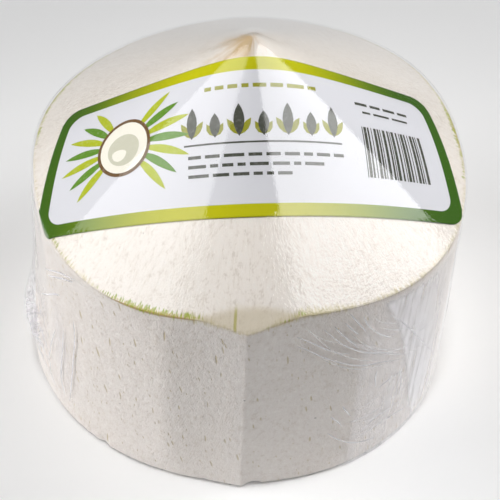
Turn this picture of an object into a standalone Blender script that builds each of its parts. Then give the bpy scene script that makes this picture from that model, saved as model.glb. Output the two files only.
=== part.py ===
"""Trimmed young coconut in clear stretch film, with a band label under the film.

Metres, +Z up, the front at -Y. The nut stands on its cut base, and the origin lies on the
surface below the middle of the whole outline. Angles go round from the front towards +X.
"""
import math

import bmesh
import bpy
from mathutils import Vector

# The trimmed nut
RIM_RADIUS = 0.063
CONE_RISE = 0.045
RIM_HEIGHT = 0.0761
BASE_RADIUS = 0.0624
APEX_BLUNTING = 0.0015
BASE_EDGE_ROUNDING = 0.0012
DISH_RADIUS = 0.025
DISH_FLAT_RADIUS = 0.012
DISH_DEPTH = 0.0015

# Where the cone's axis stands from the origin, where the rim and the base lie from that axis,
# and how far the base is turned
AXIS_PLACE = Vector((0.0048, -0.0008))
RIM_SHIFT = Vector((-0.0015, -0.0008))
BASE_SHIFT = Vector((-0.0053, 0.0006))
BASE_TURN = 1.5

# Knife cuts leave the plan slightly lobed: how many lobes, their height as a share of the
# radius, and the angle of one crest
RIM_LOBES = ((2, 0.0105, 27.0), (3, 0.0060, 39.0), (4, 0.0245, 53.0))
BASE_LOBES = ((2, 0.032, 69.0),)

# The two edges where flat cuts meet, as shares of the radius, and the angles where the cuts end
RIM_FRONT_EDGE = 1.016
RIM_BACK_EDGE = 1.066
BASE_FRONT_EDGE = 0.998
BASE_BACK_EDGE = 0.995
FRONT_CUTS = (-15.0, 15.0)
BACK_CUTS = (160.0, 200.0)

# The small steep cut over the front edge: where it starts on the cone, and its slope
CHAMFER_START = 0.0600
CHAMFER_SLOPE = 52.0

# Label and film
SHEET_GAP = 0.0003
LABEL_THICKNESS = 0.0003
LABEL_WIDTH = 0.128
LABEL_HEIGHT = 0.0435
LABEL_CORNER = 0.005
LABEL_CENTRE = Vector((-0.0015, -0.0283))
LABEL_TURN = 1.9
FILM_THICKNESS = 0.0003
FILM_MOUTH_RADIUS = 0.004

# Mesh density
SEGMENTS = 72
WALL_STEPS = 5
EDGE_STEPS = 2
CONE_SHARES = (0.9, 0.78, 0.65, 0.52, 0.4, 0.29, 0.2, 0.13, 0.08, 0.045, 0.02)
LABEL_COLUMNS = 52
LABEL_ROWS = 10

CONE_SLOPE = CONE_RISE / RIM_RADIUS
CONE_SLANT = math.hypot(1.0, CONE_SLOPE)
APEX_HEIGHT = RIM_HEIGHT + CONE_RISE


def clear_scene():
    for item in list(bpy.data.objects):
        bpy.data.objects.remove(item, do_unlink=True)


def lobed_share(angle, lobes):
    """An outline's radius as a share of its mean, away from the flat cuts."""
    share = 1.0
    for count, height, crest in lobes:
        share += height * math.cos(count * math.radians(angle - crest))
    return share


def chord_share(angle, start, start_share, end, end_share):
    """The radius of a straight cut that joins two places on the outline."""
    across = start_share * end_share * math.sin(math.radians(end - start))
    from_start = start_share * math.sin(math.radians(angle - start))
    to_end = end_share * math.sin(math.radians(end - angle))
    return across / (from_start + to_end)


def outline_share(angle, lobes, front_edge, back_edge):
    """A lobed outline with two flat cuts that meet at the front and two at the back."""
    turned = angle % 360.0
    edges = (
        (FRONT_CUTS[0] + 360.0, 360.0, front_edge),
        (FRONT_CUTS[1], 0.0, front_edge),
        (BACK_CUTS[0], 180.0, back_edge),
        (BACK_CUTS[1], 180.0, back_edge))
    for cut_end, edge_angle, edge_share in edges:
        if min(cut_end, edge_angle) <= turned <= max(cut_end, edge_angle):
            return chord_share(
                turned, cut_end, lobed_share(cut_end, lobes), edge_angle, edge_share)
    return lobed_share(turned, lobes)


def direction(angle):
    return Vector((math.sin(math.radians(angle)), -math.cos(math.radians(angle))))


def rim_place(angle, offset):
    share = outline_share(angle, RIM_LOBES, RIM_FRONT_EDGE, RIM_BACK_EDGE)
    return RIM_SHIFT + direction(angle) * (RIM_RADIUS * share + offset)


def base_place(angle, offset):
    share = outline_share(angle, BASE_LOBES, BASE_FRONT_EDGE, BASE_BACK_EDGE)
    return BASE_SHIFT + direction(angle + BASE_TURN) * (BASE_RADIUS * share + offset)


def cone_height(place, offset):
    """The height of the cone, or of a sheet that lies on it, over a place from its axis."""
    run = math.hypot(place.length, APEX_BLUNTING)
    return APEX_HEIGHT - CONE_SLOPE * run + CONE_SLANT * offset


def in_frame(place, height):
    return Vector((place.x + AXIS_PLACE.x, place.y + AXIS_PLACE.y, height))


def body_loops(offset, floor):
    """The rings of a nut-shaped body, from the dish in its base up to its apex."""
    angles = [360.0 * step / SEGMENTS for step in range(SEGMENTS)]
    loops = []
    for radius, height in ((DISH_FLAT_RADIUS, floor + DISH_DEPTH), (DISH_RADIUS, floor)):
        loops.append([in_frame(BASE_SHIFT + direction(a) * radius, height) for a in angles])
    for step in range(EDGE_STEPS):
        turn = math.radians(90.0 * step / EDGE_STEPS)
        inset = BASE_EDGE_ROUNDING * (1.0 - math.sin(turn))
        height = floor + BASE_EDGE_ROUNDING * (1.0 - math.cos(turn))
        loops.append([in_frame(base_place(a, offset - inset), height) for a in angles])
    for step in range(WALL_STEPS + 1):
        share = step / WALL_STEPS
        loop = []
        for angle in angles:
            rim = rim_place(angle, offset)
            bottom = in_frame(base_place(angle, offset), floor + BASE_EDGE_ROUNDING)
            loop.append(bottom.lerp(in_frame(rim, cone_height(rim, offset)), share))
        loops.append(loop)
    for share in CONE_SHARES:
        places = [rim_place(angle, offset) * share for angle in angles]
        loops.append([in_frame(place, cone_height(place, offset)) for place in places])
    return loops


def cut_front_chamfer(mesh, offset):
    """Slice the steep little cut over the front edge and close it with one flat face."""
    slope = math.radians(CHAMFER_SLOPE)
    outwards = Vector((0.0, -math.sin(slope), math.cos(slope)))
    start = Vector((0.0, -CHAMFER_START))
    on_cone = in_frame(start, cone_height(start, 0.0)) + outwards * offset
    everything = mesh.verts[:] + mesh.edges[:] + mesh.faces[:]
    cut = bmesh.ops.bisect_plane(
        mesh, geom=everything, dist=1e-6, plane_co=on_cone, plane_no=outwards, clear_outer=True)
    rim = [item for item in cut["geom_cut"] if isinstance(item, bmesh.types.BMEdge)]
    bmesh.ops.edgeloop_fill(mesh, edges=rim)


def nut_body(name, offset, floor):
    """A closed body of the trimmed nut's shape, its surface moved out by the offset.

    It starts as a globe, whose rings are moved one by one on to the nut's own rings.
    """
    loops = body_loops(offset, floor)
    bands = len(loops) + 1
    middle = Vector((0.0, 0.0))
    apex = in_frame(middle, cone_height(middle, offset))
    base_middle = in_frame(BASE_SHIFT, floor + DISH_DEPTH)
    mesh = bmesh.new()
    bmesh.ops.create_uvsphere(mesh, u_segments=SEGMENTS, v_segments=bands, radius=1.0)
    for corner in mesh.verts:
        from_top = math.acos(max(-1.0, min(1.0, corner.co.z))) / math.pi
        band = round(bands * (1.0 - from_top))
        turn = math.atan2(corner.co.x, -corner.co.y) / math.tau
        if band == 0:
            corner.co = base_middle
        elif band == bands:
            corner.co = apex
        else:
            corner.co = loops[band - 1][round(turn * SEGMENTS) % SEGMENTS]
    cut_front_chamfer(mesh, offset)
    bmesh.ops.recalc_face_normals(mesh, faces=mesh.faces[:])
    return new_object(name, mesh)


def new_object(name, mesh):
    data = bpy.data.meshes.new(name)
    mesh.to_mesh(data)
    mesh.free()
    data.shade_smooth()
    data.set_sharp_from_angle(angle=math.radians(30.0))
    item = bpy.data.objects.new(name, data)
    bpy.context.collection.objects.link(item)
    return item


def label_place(column, row):
    """A place on the flat label, from -1 to 1 each way, with its corners rounded off."""
    along = column * LABEL_WIDTH / 2.0
    half_height = LABEL_HEIGHT / 2.0
    into_corner = abs(along) - (LABEL_WIDTH / 2.0 - LABEL_CORNER)
    if into_corner > 0.0:
        half_height -= LABEL_CORNER - math.sqrt(max(0.0, LABEL_CORNER ** 2 - into_corner ** 2))
    turn = math.radians(LABEL_TURN)
    across = row * half_height
    turned = Vector((
        along * math.cos(turn) - across * math.sin(turn),
        along * math.sin(turn) + across * math.cos(turn)))
    return LABEL_CENTRE + turned


def wrap_on_cone(flat, offset):
    """Roll a place on the cone's flat pattern on to the cone, no further out than its rim."""
    slant_length = flat.length
    angle = math.degrees(math.atan2(flat.x, -flat.y) * CONE_SLANT)
    place = direction(angle) * (slant_length / CONE_SLANT)
    centred = place - RIM_SHIFT
    rim_angle = math.degrees(math.atan2(centred.x, -centred.y))
    rim = rim_place(rim_angle, 0.0)
    if centred.length > (rim - RIM_SHIFT).length:
        place = rim
    return in_frame(place, cone_height(place, offset))


def make_label():
    mesh = bmesh.new()
    bmesh.ops.create_grid(mesh, x_segments=LABEL_COLUMNS, y_segments=LABEL_ROWS, size=1.0)
    for corner in mesh.verts:
        corner.co = wrap_on_cone(label_place(corner.co.x, corner.co.y), SHEET_GAP)
    bmesh.ops.recalc_face_normals(mesh, faces=mesh.faces[:])
    label = new_object("label", mesh)
    sheet = label.modifiers.new("paper", "SOLIDIFY")
    sheet.thickness = LABEL_THICKNESS
    sheet.offset = 1.0
    return label


def add_cutter(target, cutter):
    cutter.hide_render = True
    cutter.display_type = "WIRE"
    cut = target.modifiers.new(cutter.name, "BOOLEAN")
    cut.operation = "DIFFERENCE"
    cut.solver = "EXACT"
    cut.object = cutter


def make_film():
    """The film's outer skin, hollowed by its inner one, with the gathered mouth below."""
    inner_offset = 2.0 * SHEET_GAP + LABEL_THICKNESS
    film = nut_body("film_wrap", inner_offset + FILM_THICKNESS, 0.0)
    add_cutter(film, nut_body("film_inside", inner_offset, FILM_THICKNESS))
    mouth_mesh = bmesh.new()
    bmesh.ops.create_cone(
        mouth_mesh, cap_ends=True, segments=24, radius1=FILM_MOUTH_RADIUS,
        radius2=FILM_MOUTH_RADIUS, depth=4.0 * DISH_DEPTH)
    bmesh.ops.translate(mouth_mesh, verts=mouth_mesh.verts[:], vec=in_frame(BASE_SHIFT, 0.0))
    add_cutter(film, new_object("film_mouth", mouth_mesh))
    return film


def add_material(item, name, colour, roughness, alpha=1.0):
    surface = bpy.data.materials.new(name)
    surface.use_nodes = True
    shader = surface.node_tree.nodes["Principled BSDF"]
    shader.inputs["Base Color"].default_value = (*colour, 1.0)
    shader.inputs["Roughness"].default_value = roughness
    shader.inputs["Metallic"].default_value = 0.0
    shader.inputs["Alpha"].default_value = alpha
    item.data.materials.append(surface)


clear_scene()
add_material(nut_body("coconut", 0.0, SHEET_GAP + FILM_THICKNESS), "husk", (0.78, 0.74, 0.66), 0.8)
add_material(make_label(), "printed_paper", (0.80, 0.86, 0.72), 0.4)
add_material(make_film(), "clear_film", (0.90, 0.92, 0.94), 0.1, alpha=0.25)
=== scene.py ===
import functools
import math
import random

import bmesh
import bpy
from mathutils import Matrix, Vector, noise


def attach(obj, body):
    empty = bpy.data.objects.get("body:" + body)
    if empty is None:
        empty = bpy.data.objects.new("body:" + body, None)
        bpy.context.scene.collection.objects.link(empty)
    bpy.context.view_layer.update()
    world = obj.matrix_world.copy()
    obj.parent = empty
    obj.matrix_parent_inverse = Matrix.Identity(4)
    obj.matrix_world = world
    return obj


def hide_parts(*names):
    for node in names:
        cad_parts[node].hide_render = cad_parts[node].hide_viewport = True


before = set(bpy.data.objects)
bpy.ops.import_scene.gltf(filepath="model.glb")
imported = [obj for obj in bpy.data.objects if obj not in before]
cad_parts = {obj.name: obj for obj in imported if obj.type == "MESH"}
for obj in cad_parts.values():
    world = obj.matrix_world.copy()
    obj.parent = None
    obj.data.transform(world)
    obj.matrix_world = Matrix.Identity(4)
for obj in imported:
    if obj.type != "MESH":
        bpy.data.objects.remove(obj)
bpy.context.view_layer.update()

# The trimmed nut
# A young coconut with its green skin sliced off: a low cone on top, a drum of flat knife cuts
# below it and a flat base. What shows is the husk, a pale, damp and spongy fibre, with a trace
# of skin along the rim. Angles go round from the front towards +X, in degrees.
RIM_RADIUS = 0.063
CONE_RISE = 0.045
RIM_HEIGHT = 0.0761
BASE_RADIUS = 0.0624
APEX_BLUNTING = 0.0015
BASE_EDGE_ROUNDING = 0.0012
DISH_DEPTH = 0.0015
DISH_REACH = 0.42
DISH_SLOPE = 0.2
NUT_FLOOR = 0.0006
AXIS_PLACE = Vector((0.0048, -0.0008))
RIM_SHIFT = Vector((-0.0015, -0.0008))
BASE_SHIFT = Vector((-0.0053, 0.0006))
BASE_TURN = 1.5

# Lobes of the plan (count, height as a share of the radius, angle of a crest), and flat cuts
RIM_LOBES = ((2, 0.0105, 27.0), (3, 0.0060, 39.0), (4, 0.0245, 53.0))
BASE_LOBES = ((2, 0.032, 69.0),)
RIM_FRONT_EDGE = 1.016
RIM_BACK_EDGE = 1.066
BASE_FRONT_EDGE = 0.998
BASE_BACK_EDGE = 0.995
FRONT_CUTS = (-15.0, 15.0)
BACK_CUTS = (160.0, 200.0)
KNIFE_EDGES = (-180.0, -157.0, -128.0, -97.0, -62.0, -21.0, 0.0, 29.5, 61.0, 92.0, 126.0, 157.0, 180.0)
KNIFE_FLATNESS = 0.4
KNIFE_MEAN = 0.026
KNIFE_EDGE_SOFTNESS = 1.6
FLATS_FADE = 0.14
CHIP_DEPTH = 0.0028
CHIP_HEIGHT = 0.0035
CHIP_WIDTH = 0.005
CHIP_RARITY = 0.28

# Rings lie closer together near the rim the more this is above 1
RIM_CROWDING = 1.2

# The steep little cut over the front edge
CHAMFER_START = 0.0600
CHAMFER_SLOPE = 52.0
CHAMFER_TEST_DROP = 0.01
CHAMFER_BLEND = 0.0005

CONE_SLOPE = CONE_RISE / RIM_RADIUS
CONE_SLANT = math.hypot(1.0, CONE_SLOPE)
APEX_HEIGHT = RIM_HEIGHT + CONE_RISE


def lobed_share(angle, lobes):
    share = 1.0
    for count, height, crest in lobes:
        share += height * math.cos(count * math.radians(angle - crest))
    return share


def chord_share(angle, start, start_share, end, end_share):
    across = start_share * end_share * math.sin(math.radians(end - start))
    from_start = start_share * math.sin(math.radians(angle - start))
    to_end = end_share * math.sin(math.radians(end - angle))
    return across / (from_start + to_end)


def outline_share(angle, lobes, front_edge, back_edge):
    """A lobed outline with two flat cuts that meet at the front and two at the back."""
    turned = angle % 360.0
    edges = (
        (FRONT_CUTS[0] + 360.0, 360.0, front_edge),
        (FRONT_CUTS[1], 0.0, front_edge),
        (BACK_CUTS[0], 180.0, back_edge),
        (BACK_CUTS[1], 180.0, back_edge))
    for cut_end, edge_angle, edge_share in edges:
        if min(cut_end, edge_angle) <= turned <= max(cut_end, edge_angle):
            return chord_share(
                turned, cut_end, lobed_share(cut_end, lobes), edge_angle, edge_share)
    return lobed_share(turned, lobes)


def limited(value):
    """The value itself, but never below 0 or above 1."""
    return max(0.0, min(1.0, value))


def eased(value):
    """0 up to 0, 1 from 1 on, smooth in between."""
    share = limited(value)
    return share * share * (3.0 - 2.0 * share)


def wrapped(angle):
    """The same angle, from -180 to 180."""
    return (angle + 180.0) % 360.0 - 180.0


def knife_bulge(angle):
    """How far a flat cut lies inside the round between its two edges, as a share of the radius."""
    turned = wrapped(angle)
    for start, end in zip(KNIFE_EDGES, KNIFE_EDGES[1:]):
        if start <= turned <= end:
            half = math.radians(end - start) / 2.0
            across = math.radians(turned - (start + end) / 2.0)
            return (across * across - half * half) / 2.0
    return 0.0


@functools.cache
def knife_flat(angle):
    """How far the drum's knife cuts, soft at their edges, stand out from the even outline."""
    shares = (-1.0, -0.5, 0.0, 0.5, 1.0)
    softened = sum(knife_bulge(angle + share * KNIFE_EDGE_SOFTNESS) for share in shares) / len(shares)
    off_front = abs(wrapped(angle)) / FRONT_CUTS[1]
    return KNIFE_FLATNESS * RIM_RADIUS * (softened + KNIFE_MEAN) * eased(off_front - 0.3)


@functools.cache
def direction(angle):
    return Vector((math.sin(math.radians(angle)), -math.cos(math.radians(angle))))


def heading_of(place):
    """The angle at which a place lies, seen from the middle."""
    return math.degrees(math.atan2(place.x, -place.y))


@functools.cache
def rim_radius(angle):
    return RIM_RADIUS * outline_share(angle, RIM_LOBES, RIM_FRONT_EDGE, RIM_BACK_EDGE)


@functools.cache
def base_radius(angle):
    return BASE_RADIUS * outline_share(angle, BASE_LOBES, BASE_FRONT_EDGE, BASE_BACK_EDGE)


def rim_place(angle, offset):
    return RIM_SHIFT + direction(angle) * (rim_radius(angle) + offset)


def base_place(angle, offset):
    return BASE_SHIFT + direction(angle + BASE_TURN) * (base_radius(angle) + offset)


def cone_height(place, offset):
    run = math.hypot(place.length, APEX_BLUNTING)
    return APEX_HEIGHT - CONE_SLOPE * run + CONE_SLANT * offset


def in_frame(place, height):
    return Vector((place.x + AXIS_PLACE.x, place.y + AXIS_PLACE.y, height))


def drum_height(angle, offset, floor):
    """How far the drum's wall goes down from the rim to the rounded edge of its base."""
    return cone_height(rim_place(angle, offset), offset) - floor - BASE_EDGE_ROUNDING


def wall_place(angle, drop, offset, floor):
    """A place on the drum, a drop below the rim; its flats fade out at the rim and the base."""
    rim = rim_place(angle, offset)
    top = in_frame(rim, cone_height(rim, offset))
    foot = in_frame(base_place(angle, offset), floor + BASE_EDGE_ROUNDING)
    up = max(0.0, 1.0 - drop / (top.z - foot.z))
    flat = knife_flat(angle) * eased(up / FLATS_FADE) * eased((1.0 - up) / FLATS_FADE)
    return foot.lerp(top, up) + (direction(angle) * flat).to_3d()


def cone_place(angle, inwards, offset):
    """A place on the cone, some way up its slope from the rim."""
    rim = rim_place(angle, offset)
    place = rim * (1.0 - inwards / (rim.length * CONE_SLANT))
    return in_frame(place, cone_height(place, offset))


CHAMFER_PLACE = Vector((0.0, -CHAMFER_START))
CHAMFER_FOOT = in_frame(CHAMFER_PLACE, cone_height(CHAMFER_PLACE, 0.0))
CHAMFER_TILT = math.radians(CHAMFER_SLOPE)
CHAMFER_OUT = Vector((0.0, -math.sin(CHAMFER_TILT), math.cos(CHAMFER_TILT)))


def over_chamfer(place):
    """How far a place stands out over the steep front cut."""
    return (place - CHAMFER_FOOT).dot(CHAMFER_OUT)


def pared(place, offset):
    """A place that stands out over the steep front cut is moved back on to it."""
    return place - CHAMFER_OUT * max(0.0, over_chamfer(place) - offset)


@functools.cache
def edge_drop(angle):
    """How far the drum's upper edge lies below the rim, where the steep cut lowers it."""
    at_rim = over_chamfer(wall_place(angle, 0.0, 0.0, NUT_FLOOR))
    lower = over_chamfer(wall_place(angle, CHAMFER_TEST_DROP, 0.0, NUT_FLOOR))
    return max(0.0, CHAMFER_TEST_DROP * at_rim / (at_rim - lower))


def nut_rings(segments, steps, offset, floor, relief):
    """Rings of places from the middle of the base up to the apex.

    Each place is (position, angle, way up from the drum's edge, which is below nought on it).
    The steps are how many rings there are on base, base edge, drum and cone, and relief gives
    how far the surface stands out more at an angle, a way up and a height over the base.
    """
    base_steps, edge_steps, wall_steps, cone_steps = steps
    angles = [360.0 * step / segments for step in range(segments)]
    wall_height = RIM_HEIGHT - floor
    rings = []
    for step in range(1, base_steps):
        share = step / base_steps
        ring = []
        for angle in angles:
            edge = base_place(angle, offset - BASE_EDGE_ROUNDING)
            place = BASE_SHIFT + (edge - BASE_SHIFT) * share
            dish = DISH_DEPTH * limited((DISH_REACH - share) / DISH_SLOPE)
            way_up = -wall_height - (1.0 - share) * BASE_RADIUS
            rise = dish + max(0.0, relief(angle, way_up, 0.0))
            ring.append((in_frame(place, floor + rise), angle, way_up))
        rings.append(ring)
    for step in range(edge_steps):
        turn = math.radians(90.0 * step / edge_steps)
        inset = BASE_EDGE_ROUNDING * (1.0 - math.sin(turn))
        height = floor + BASE_EDGE_ROUNDING * (1.0 - math.cos(turn))
        ring = []
        for angle in angles:
            way_up = -drum_height(angle, offset, floor)
            full = offset + relief(angle, way_up, BASE_EDGE_ROUNDING) - inset
            ring.append((in_frame(base_place(angle, full), height), angle, edge_drop(angle) + way_up))
        rings.append(ring)
    for step in range(wall_steps + 1):
        ring = []
        for angle in angles:
            whole = drum_height(angle, offset, floor)
            drop = whole * (1.0 - step / wall_steps)
            full = offset + relief(angle, -drop, BASE_EDGE_ROUNDING + whole - drop)
            place = pared(wall_place(angle, drop, full, floor), full)
            ring.append((place, angle, edge_drop(angle) - drop))
        rings.append(ring)
    for step in range(1, cone_steps):
        share = (step / cone_steps) ** RIM_CROWDING
        ring = []
        for angle in angles:
            way_up = share * rim_place(angle, offset).length * CONE_SLANT
            full = offset + relief(angle, way_up, RIM_HEIGHT) * (1.0 - share)
            place = pared(cone_place(angle, way_up, full), full)
            ring.append((place, angle, way_up + edge_drop(angle)))
        rings.append(ring)
    return rings


def skin_of_rings(rings, apex, base_middle, marks):
    """A closed skin: a globe whose rings are moved one by one on to the given rings.

    The attribute lay holds each place on the unrolled nut: round the rim, and the way up from
    the rim. The marks are further attributes, each a name and its function of angle and way up.
    """
    segments = len(rings[0])
    bands = len(rings) + 1
    skin = bmesh.new()
    bmesh.ops.create_uvsphere(skin, u_segments=segments, v_segments=bands, radius=1.0)
    lay = skin.verts.layers.float_vector.new("lay")
    layers = [(skin.verts.layers.float.new(name), mark) for name, mark in marks]
    for corner in skin.verts:
        from_top = math.acos(max(-1.0, min(1.0, corner.co.z))) / math.pi
        band = round(bands * (1.0 - from_top))
        turn = math.atan2(corner.co.x, -corner.co.y) / math.tau
        if band == 0:
            corner.co, angle, way_up = base_middle, 0.0, -RIM_HEIGHT - BASE_RADIUS
        elif band == bands:
            corner.co, angle, way_up = apex, 0.0, RIM_RADIUS * CONE_SLANT
        else:
            corner.co, angle, way_up = rings[band - 1][round(turn * segments) % segments]
        round_rim = direction(angle) * RIM_RADIUS
        corner[lay] = (round_rim.x, round_rim.y, way_up)
        for layer, mark in layers:
            corner[layer] = mark(angle, way_up)
    bmesh.ops.recalc_face_normals(skin, faces=skin.faces[:])
    return skin


def new_piece(name, mesh, surfaces, sharp_angle):
    """A finished piece at the origin, riding on the nut's body."""
    data = bpy.data.meshes.new(name)
    mesh.to_mesh(data)
    mesh.free()
    data.shade_smooth()
    data.set_sharp_from_angle(angle=math.radians(sharp_angle))
    for surface in surfaces:
        data.materials.append(surface)
    piece = bpy.data.objects.new(name, data)
    bpy.context.scene.collection.objects.link(piece)
    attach(piece, "root")
    return piece


def hump(value, middle, half_width):
    """1 in the middle, falling smoothly to 0 a half width away."""
    share = min(1.0, abs(value - middle) / half_width)
    return (1.0 - share * share) ** 2


def angle_hump(angle, middle, half_width):
    return hump((angle - middle + 180.0) % 360.0, 180.0, half_width)


# How far knife waves, spongy lumps and fibres stand out, and how wide each of them is
WAVE_HEIGHT, WAVE_WIDTH = 0.00012, 0.016
SPONGE_HEIGHT, SPONGE_WIDTH = 0.00006, 0.0026
FIBRE_HEIGHT, FIBRE_WIDTH, FIBRE_LENGTH = 0.00004, 0.0022, 0.018


def husk_relief(angle, way_up, height):
    """Waves left by the knife, the husk's spongy lumps, and small chips out of the base's edge."""
    spot = direction(angle) * RIM_RADIUS
    wave = noise.noise(Vector((spot.x, spot.y, way_up)) / WAVE_WIDTH)
    sponge = noise.noise(Vector((spot.x, spot.y, way_up)) / SPONGE_WIDTH)
    fibre = noise.noise(Vector((spot.x / FIBRE_WIDTH, spot.y / FIBRE_WIDTH, way_up / FIBRE_LENGTH)))
    chip = max(0.0, noise.noise(Vector((spot.x, spot.y, 0.0)) / CHIP_WIDTH) - CHIP_RARITY)
    near_edge = eased(1.4 - height / CHIP_HEIGHT) if height > 0.0 else 0.0
    relief = WAVE_HEIGHT * wave + SPONGE_HEIGHT * sponge + FIBRE_HEIGHT * fibre
    return relief - CHIP_DEPTH * chip * near_edge


# Where green skin, and the olive layer under it, were left: middle, half width, and how much
GREEN_LEFT = (
    (-24.0, 19.0, 1.0), (-58.0, 14.0, 0.15), (9.0, 7.0, 0.7), (98.0, 24.0, 0.8), (150.0, 18.0, 0.5),
    (-118.0, 30.0, 0.75), (-165.0, 14.0, 0.4))
OLIVE_LEFT = (
    (-13.0, 12.0, 0.8), (14.0, 15.0, 1.0), (44.0, 30.0, 0.3), (-56.0, 24.0, 0.3), (120.0, 40.0, 0.5),
    (-140.0, 40.0, 0.4))


def left_along_rim(places):
    """A mark for skin left by the knife, strongest in the middle of each of the places."""
    return lambda angle, way_up: sum(
        much * angle_hump(angle, middle, half) for middle, half, much in places)


def on_chamfer(angle, way_up):
    """How much a place lies on the steep front cut, from 0 to 1 across its edge."""
    drop = edge_drop(angle) - way_up
    if drop > 0.0:
        above = over_chamfer(wall_place(angle, drop, 0.0, NUT_FLOOR))
    else:
        above = over_chamfer(cone_place(angle, -drop, 0.0))
    return limited(0.5 + above / CHAMFER_BLEND)


def paint(red, green, blue):
    """A colour as seen in a picture, from 0 to 255, as the shaders need it."""
    shares = [value / 255.0 for value in (red, green, blue)]
    return (*[s / 12.92 if s <= 0.04045 else ((s + 0.055) / 1.055) ** 2.4 for s in shares], 1.0)


def add_node(tree, kind, inputs, **settings):
    """A shader node whose inputs are given as values, or as the sockets that feed them."""
    new = tree.nodes.new(kind)
    for name, value in settings.items():
        setattr(new, name, value)
    for name, value in inputs.items():
        if isinstance(value, bpy.types.NodeSocket):
            tree.links.new(value, new.inputs[name])
        else:
            new.inputs[name].default_value = value
    return new


def calculate(tree, operation, first, second=0.0, third=0.0):
    inputs = {0: first, 1: second, 2: third}
    return add_node(tree, "ShaderNodeMath", inputs, operation=operation).outputs[0]


def soft_step(tree, value, start, end):
    """0 below the start, 1 past the end, smooth in between; the ends may be the other way."""
    ramp = add_node(
        tree, "ShaderNodeMapRange", {"Value": value, "From Min": start, "From Max": end},
        interpolation_type="SMOOTHSTEP")
    return ramp.outputs["Result"]


def blend_colours(tree, share, first, second):
    new = add_node(tree, "ShaderNodeMix", {0: share, 6: first, 7: second}, data_type="RGBA")
    return new.outputs[2]


def tint(tree, tone, mask, colour, cover):
    """Lay a colour over the tone where the mask is, covering this share of it."""
    return blend_colours(tree, calculate(tree, "MULTIPLY", mask, cover), tone, colour)


def stretched(tree, vector, width, length):
    """The unrolled nut's coordinates, scaled so that one unit is this wide and this long."""
    scale = (1.0 / width, 1.0 / width, 1.0 / length)
    return add_node(tree, "ShaderNodeMapping", {"Vector": vector, "Scale": scale}).outputs[0]


def noise_value(tree, lay, size, detail, roughness=0.5):
    """Smooth random lumps of this width and length, from 0 to 1 and mostly near a half."""
    vector = stretched(tree, lay, *size)
    inputs = {"Vector": vector, "Scale": 1.0, "Detail": detail, "Roughness": roughness}
    return add_node(tree, "ShaderNodeTexNoise", inputs).outputs["Fac"]


def slanted(tree, lay, angle):
    """The unrolled nut turned round its axis by an angle that may change with the height."""
    inputs = {"Vector": lay, "Angle": angle}
    return add_node(tree, "ShaderNodeVectorRotate", inputs, rotation_type="Z_AXIS").outputs[0]


def attribute(tree, name, output="Fac"):
    return add_node(tree, "ShaderNodeAttribute", {}, attribute_name=name).outputs[output]


def new_surface(name):
    """A material with an empty node tree but for its output and one Principled shader."""
    surface = bpy.data.materials.new(name)
    surface.use_nodes = True
    return surface, surface.node_tree, surface.node_tree.nodes["Principled BSDF"]


def dashes(tree, vector, width, length, most, share):
    """Marks scattered over the husk, one to a cell of this width and length.

    Only this share of the cells has a mark, of a random size up to this part of the cell.
    """
    cells = add_node(
        tree, "ShaderNodeTexVoronoi", {"Vector": stretched(tree, vector, width, length), "Scale": 1.0})
    parts = add_node(tree, "ShaderNodeSeparateColor", {"Color": cells.outputs["Color"]})
    chosen = calculate(tree, "SUBTRACT", parts.outputs[0], 1.0 - share)
    size = calculate(tree, "MULTIPLY", chosen, most / share)
    inside = calculate(tree, "SUBTRACT", size, cells.outputs["Distance"])
    return soft_step(tree, inside, 0.0, most * MARK_SOFTNESS)


HUSK_SEGMENTS = 600
HUSK_STEPS = (12, 4, 72, 56)

# Fibre on the drum and on the cone in two tones each, the cone's painted lighter than the drum's as
# painted light on the top; its strands and grain, and the skin's tips
DRUM_FIBRE = (paint(226, 219, 214), paint(220, 211, 203))
CONE_FIBRE_PAINTED_LIGHT = (paint(247, 241, 234), paint(242, 233, 223))
COMBED_FIBRE = paint(204, 190, 170)
# Painted shade and painted light for the sponge's grain
GRAIN_PAINTED_SHADE = paint(186, 170, 151)
GRAIN_PAINTED_LIGHT = paint(242, 238, 232)
SKIN_TIPS = (paint(188, 172, 76), paint(154, 170, 44))
SKIN_COVER = 0.85

# What else tints the fibre, each a colour and how much of it covers
# The back of the cone is painted darker: painted shade where it turns away from the light
BACK_PAINTED_SHADE = (paint(205, 198, 190), 0.55)
CUT_END = (paint(180, 160, 108), 0.75)
SCRATCH = (paint(196, 178, 146), 0.4)
SPECK = (paint(92, 84, 70), 0.7)
OLIVE_LAYER = (paint(190, 176, 112), 0.7)
CUT_LAYER = (paint(222, 208, 178), 0.6)
CAMBIUM = (paint(178, 146, 84), 0.75)
INNER_SKIN = (paint(186, 178, 74), 0.7)
JUICE = (paint(198, 164, 108), 0.8)

# How strong each of these is on the drum, and on the cone
COMBED = (0.05, 0.22)
GRAIN_LIGHT_AND_SHADE = (0.40, 0.34)
PITTED = (1.0, 0.06)
ROUGH = (0.80, 0.45)
PIT_DEPTH = 0.25
GRAIN_DEPTH = 0.0009

# Sizes in the fibre, each a width round the nut and a length up it
PATCH_SIZE = (0.021, 0.032)
STRAND_SIZE = (0.0006, 0.007)
LUMP_SIZE = (0.0016, 0.0021)
CRUMB_SIZE = (0.0005, 0.0007)
TUFT_SIZE = (0.00038, 0.0024)
STAIN_RUN_SIZE = (0.016, 0.006)
EDGE_BLEND = 0.0003
# Where the painted shade on the back of the cone begins and where it is full, from front to back
BACK_SHADE_FADE = (-0.035, 0.045)

# Marks: the width and length of a cell, how much of it a mark fills, and the share with a mark
MARK_SOFTNESS = 0.35
DOTS = (0.0014, 0.0028, 0.20, 0.5)
LONG_PITS = ((0.0024, 0.0160, 0.17, 0.9), (0.0021, 0.0110, 0.18, 0.9), (0.0018, 0.0070, 0.20, 0.9))
SCRATCHES = (0.0020, 0.0600, 0.11, 0.7)
SPECKS = (0.0052, 0.0052, 0.09, 0.1)
PIT_LEAN = 2.4
PIT_STRAY = 0.1
SCRATCH_LEAN = 14.0

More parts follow.
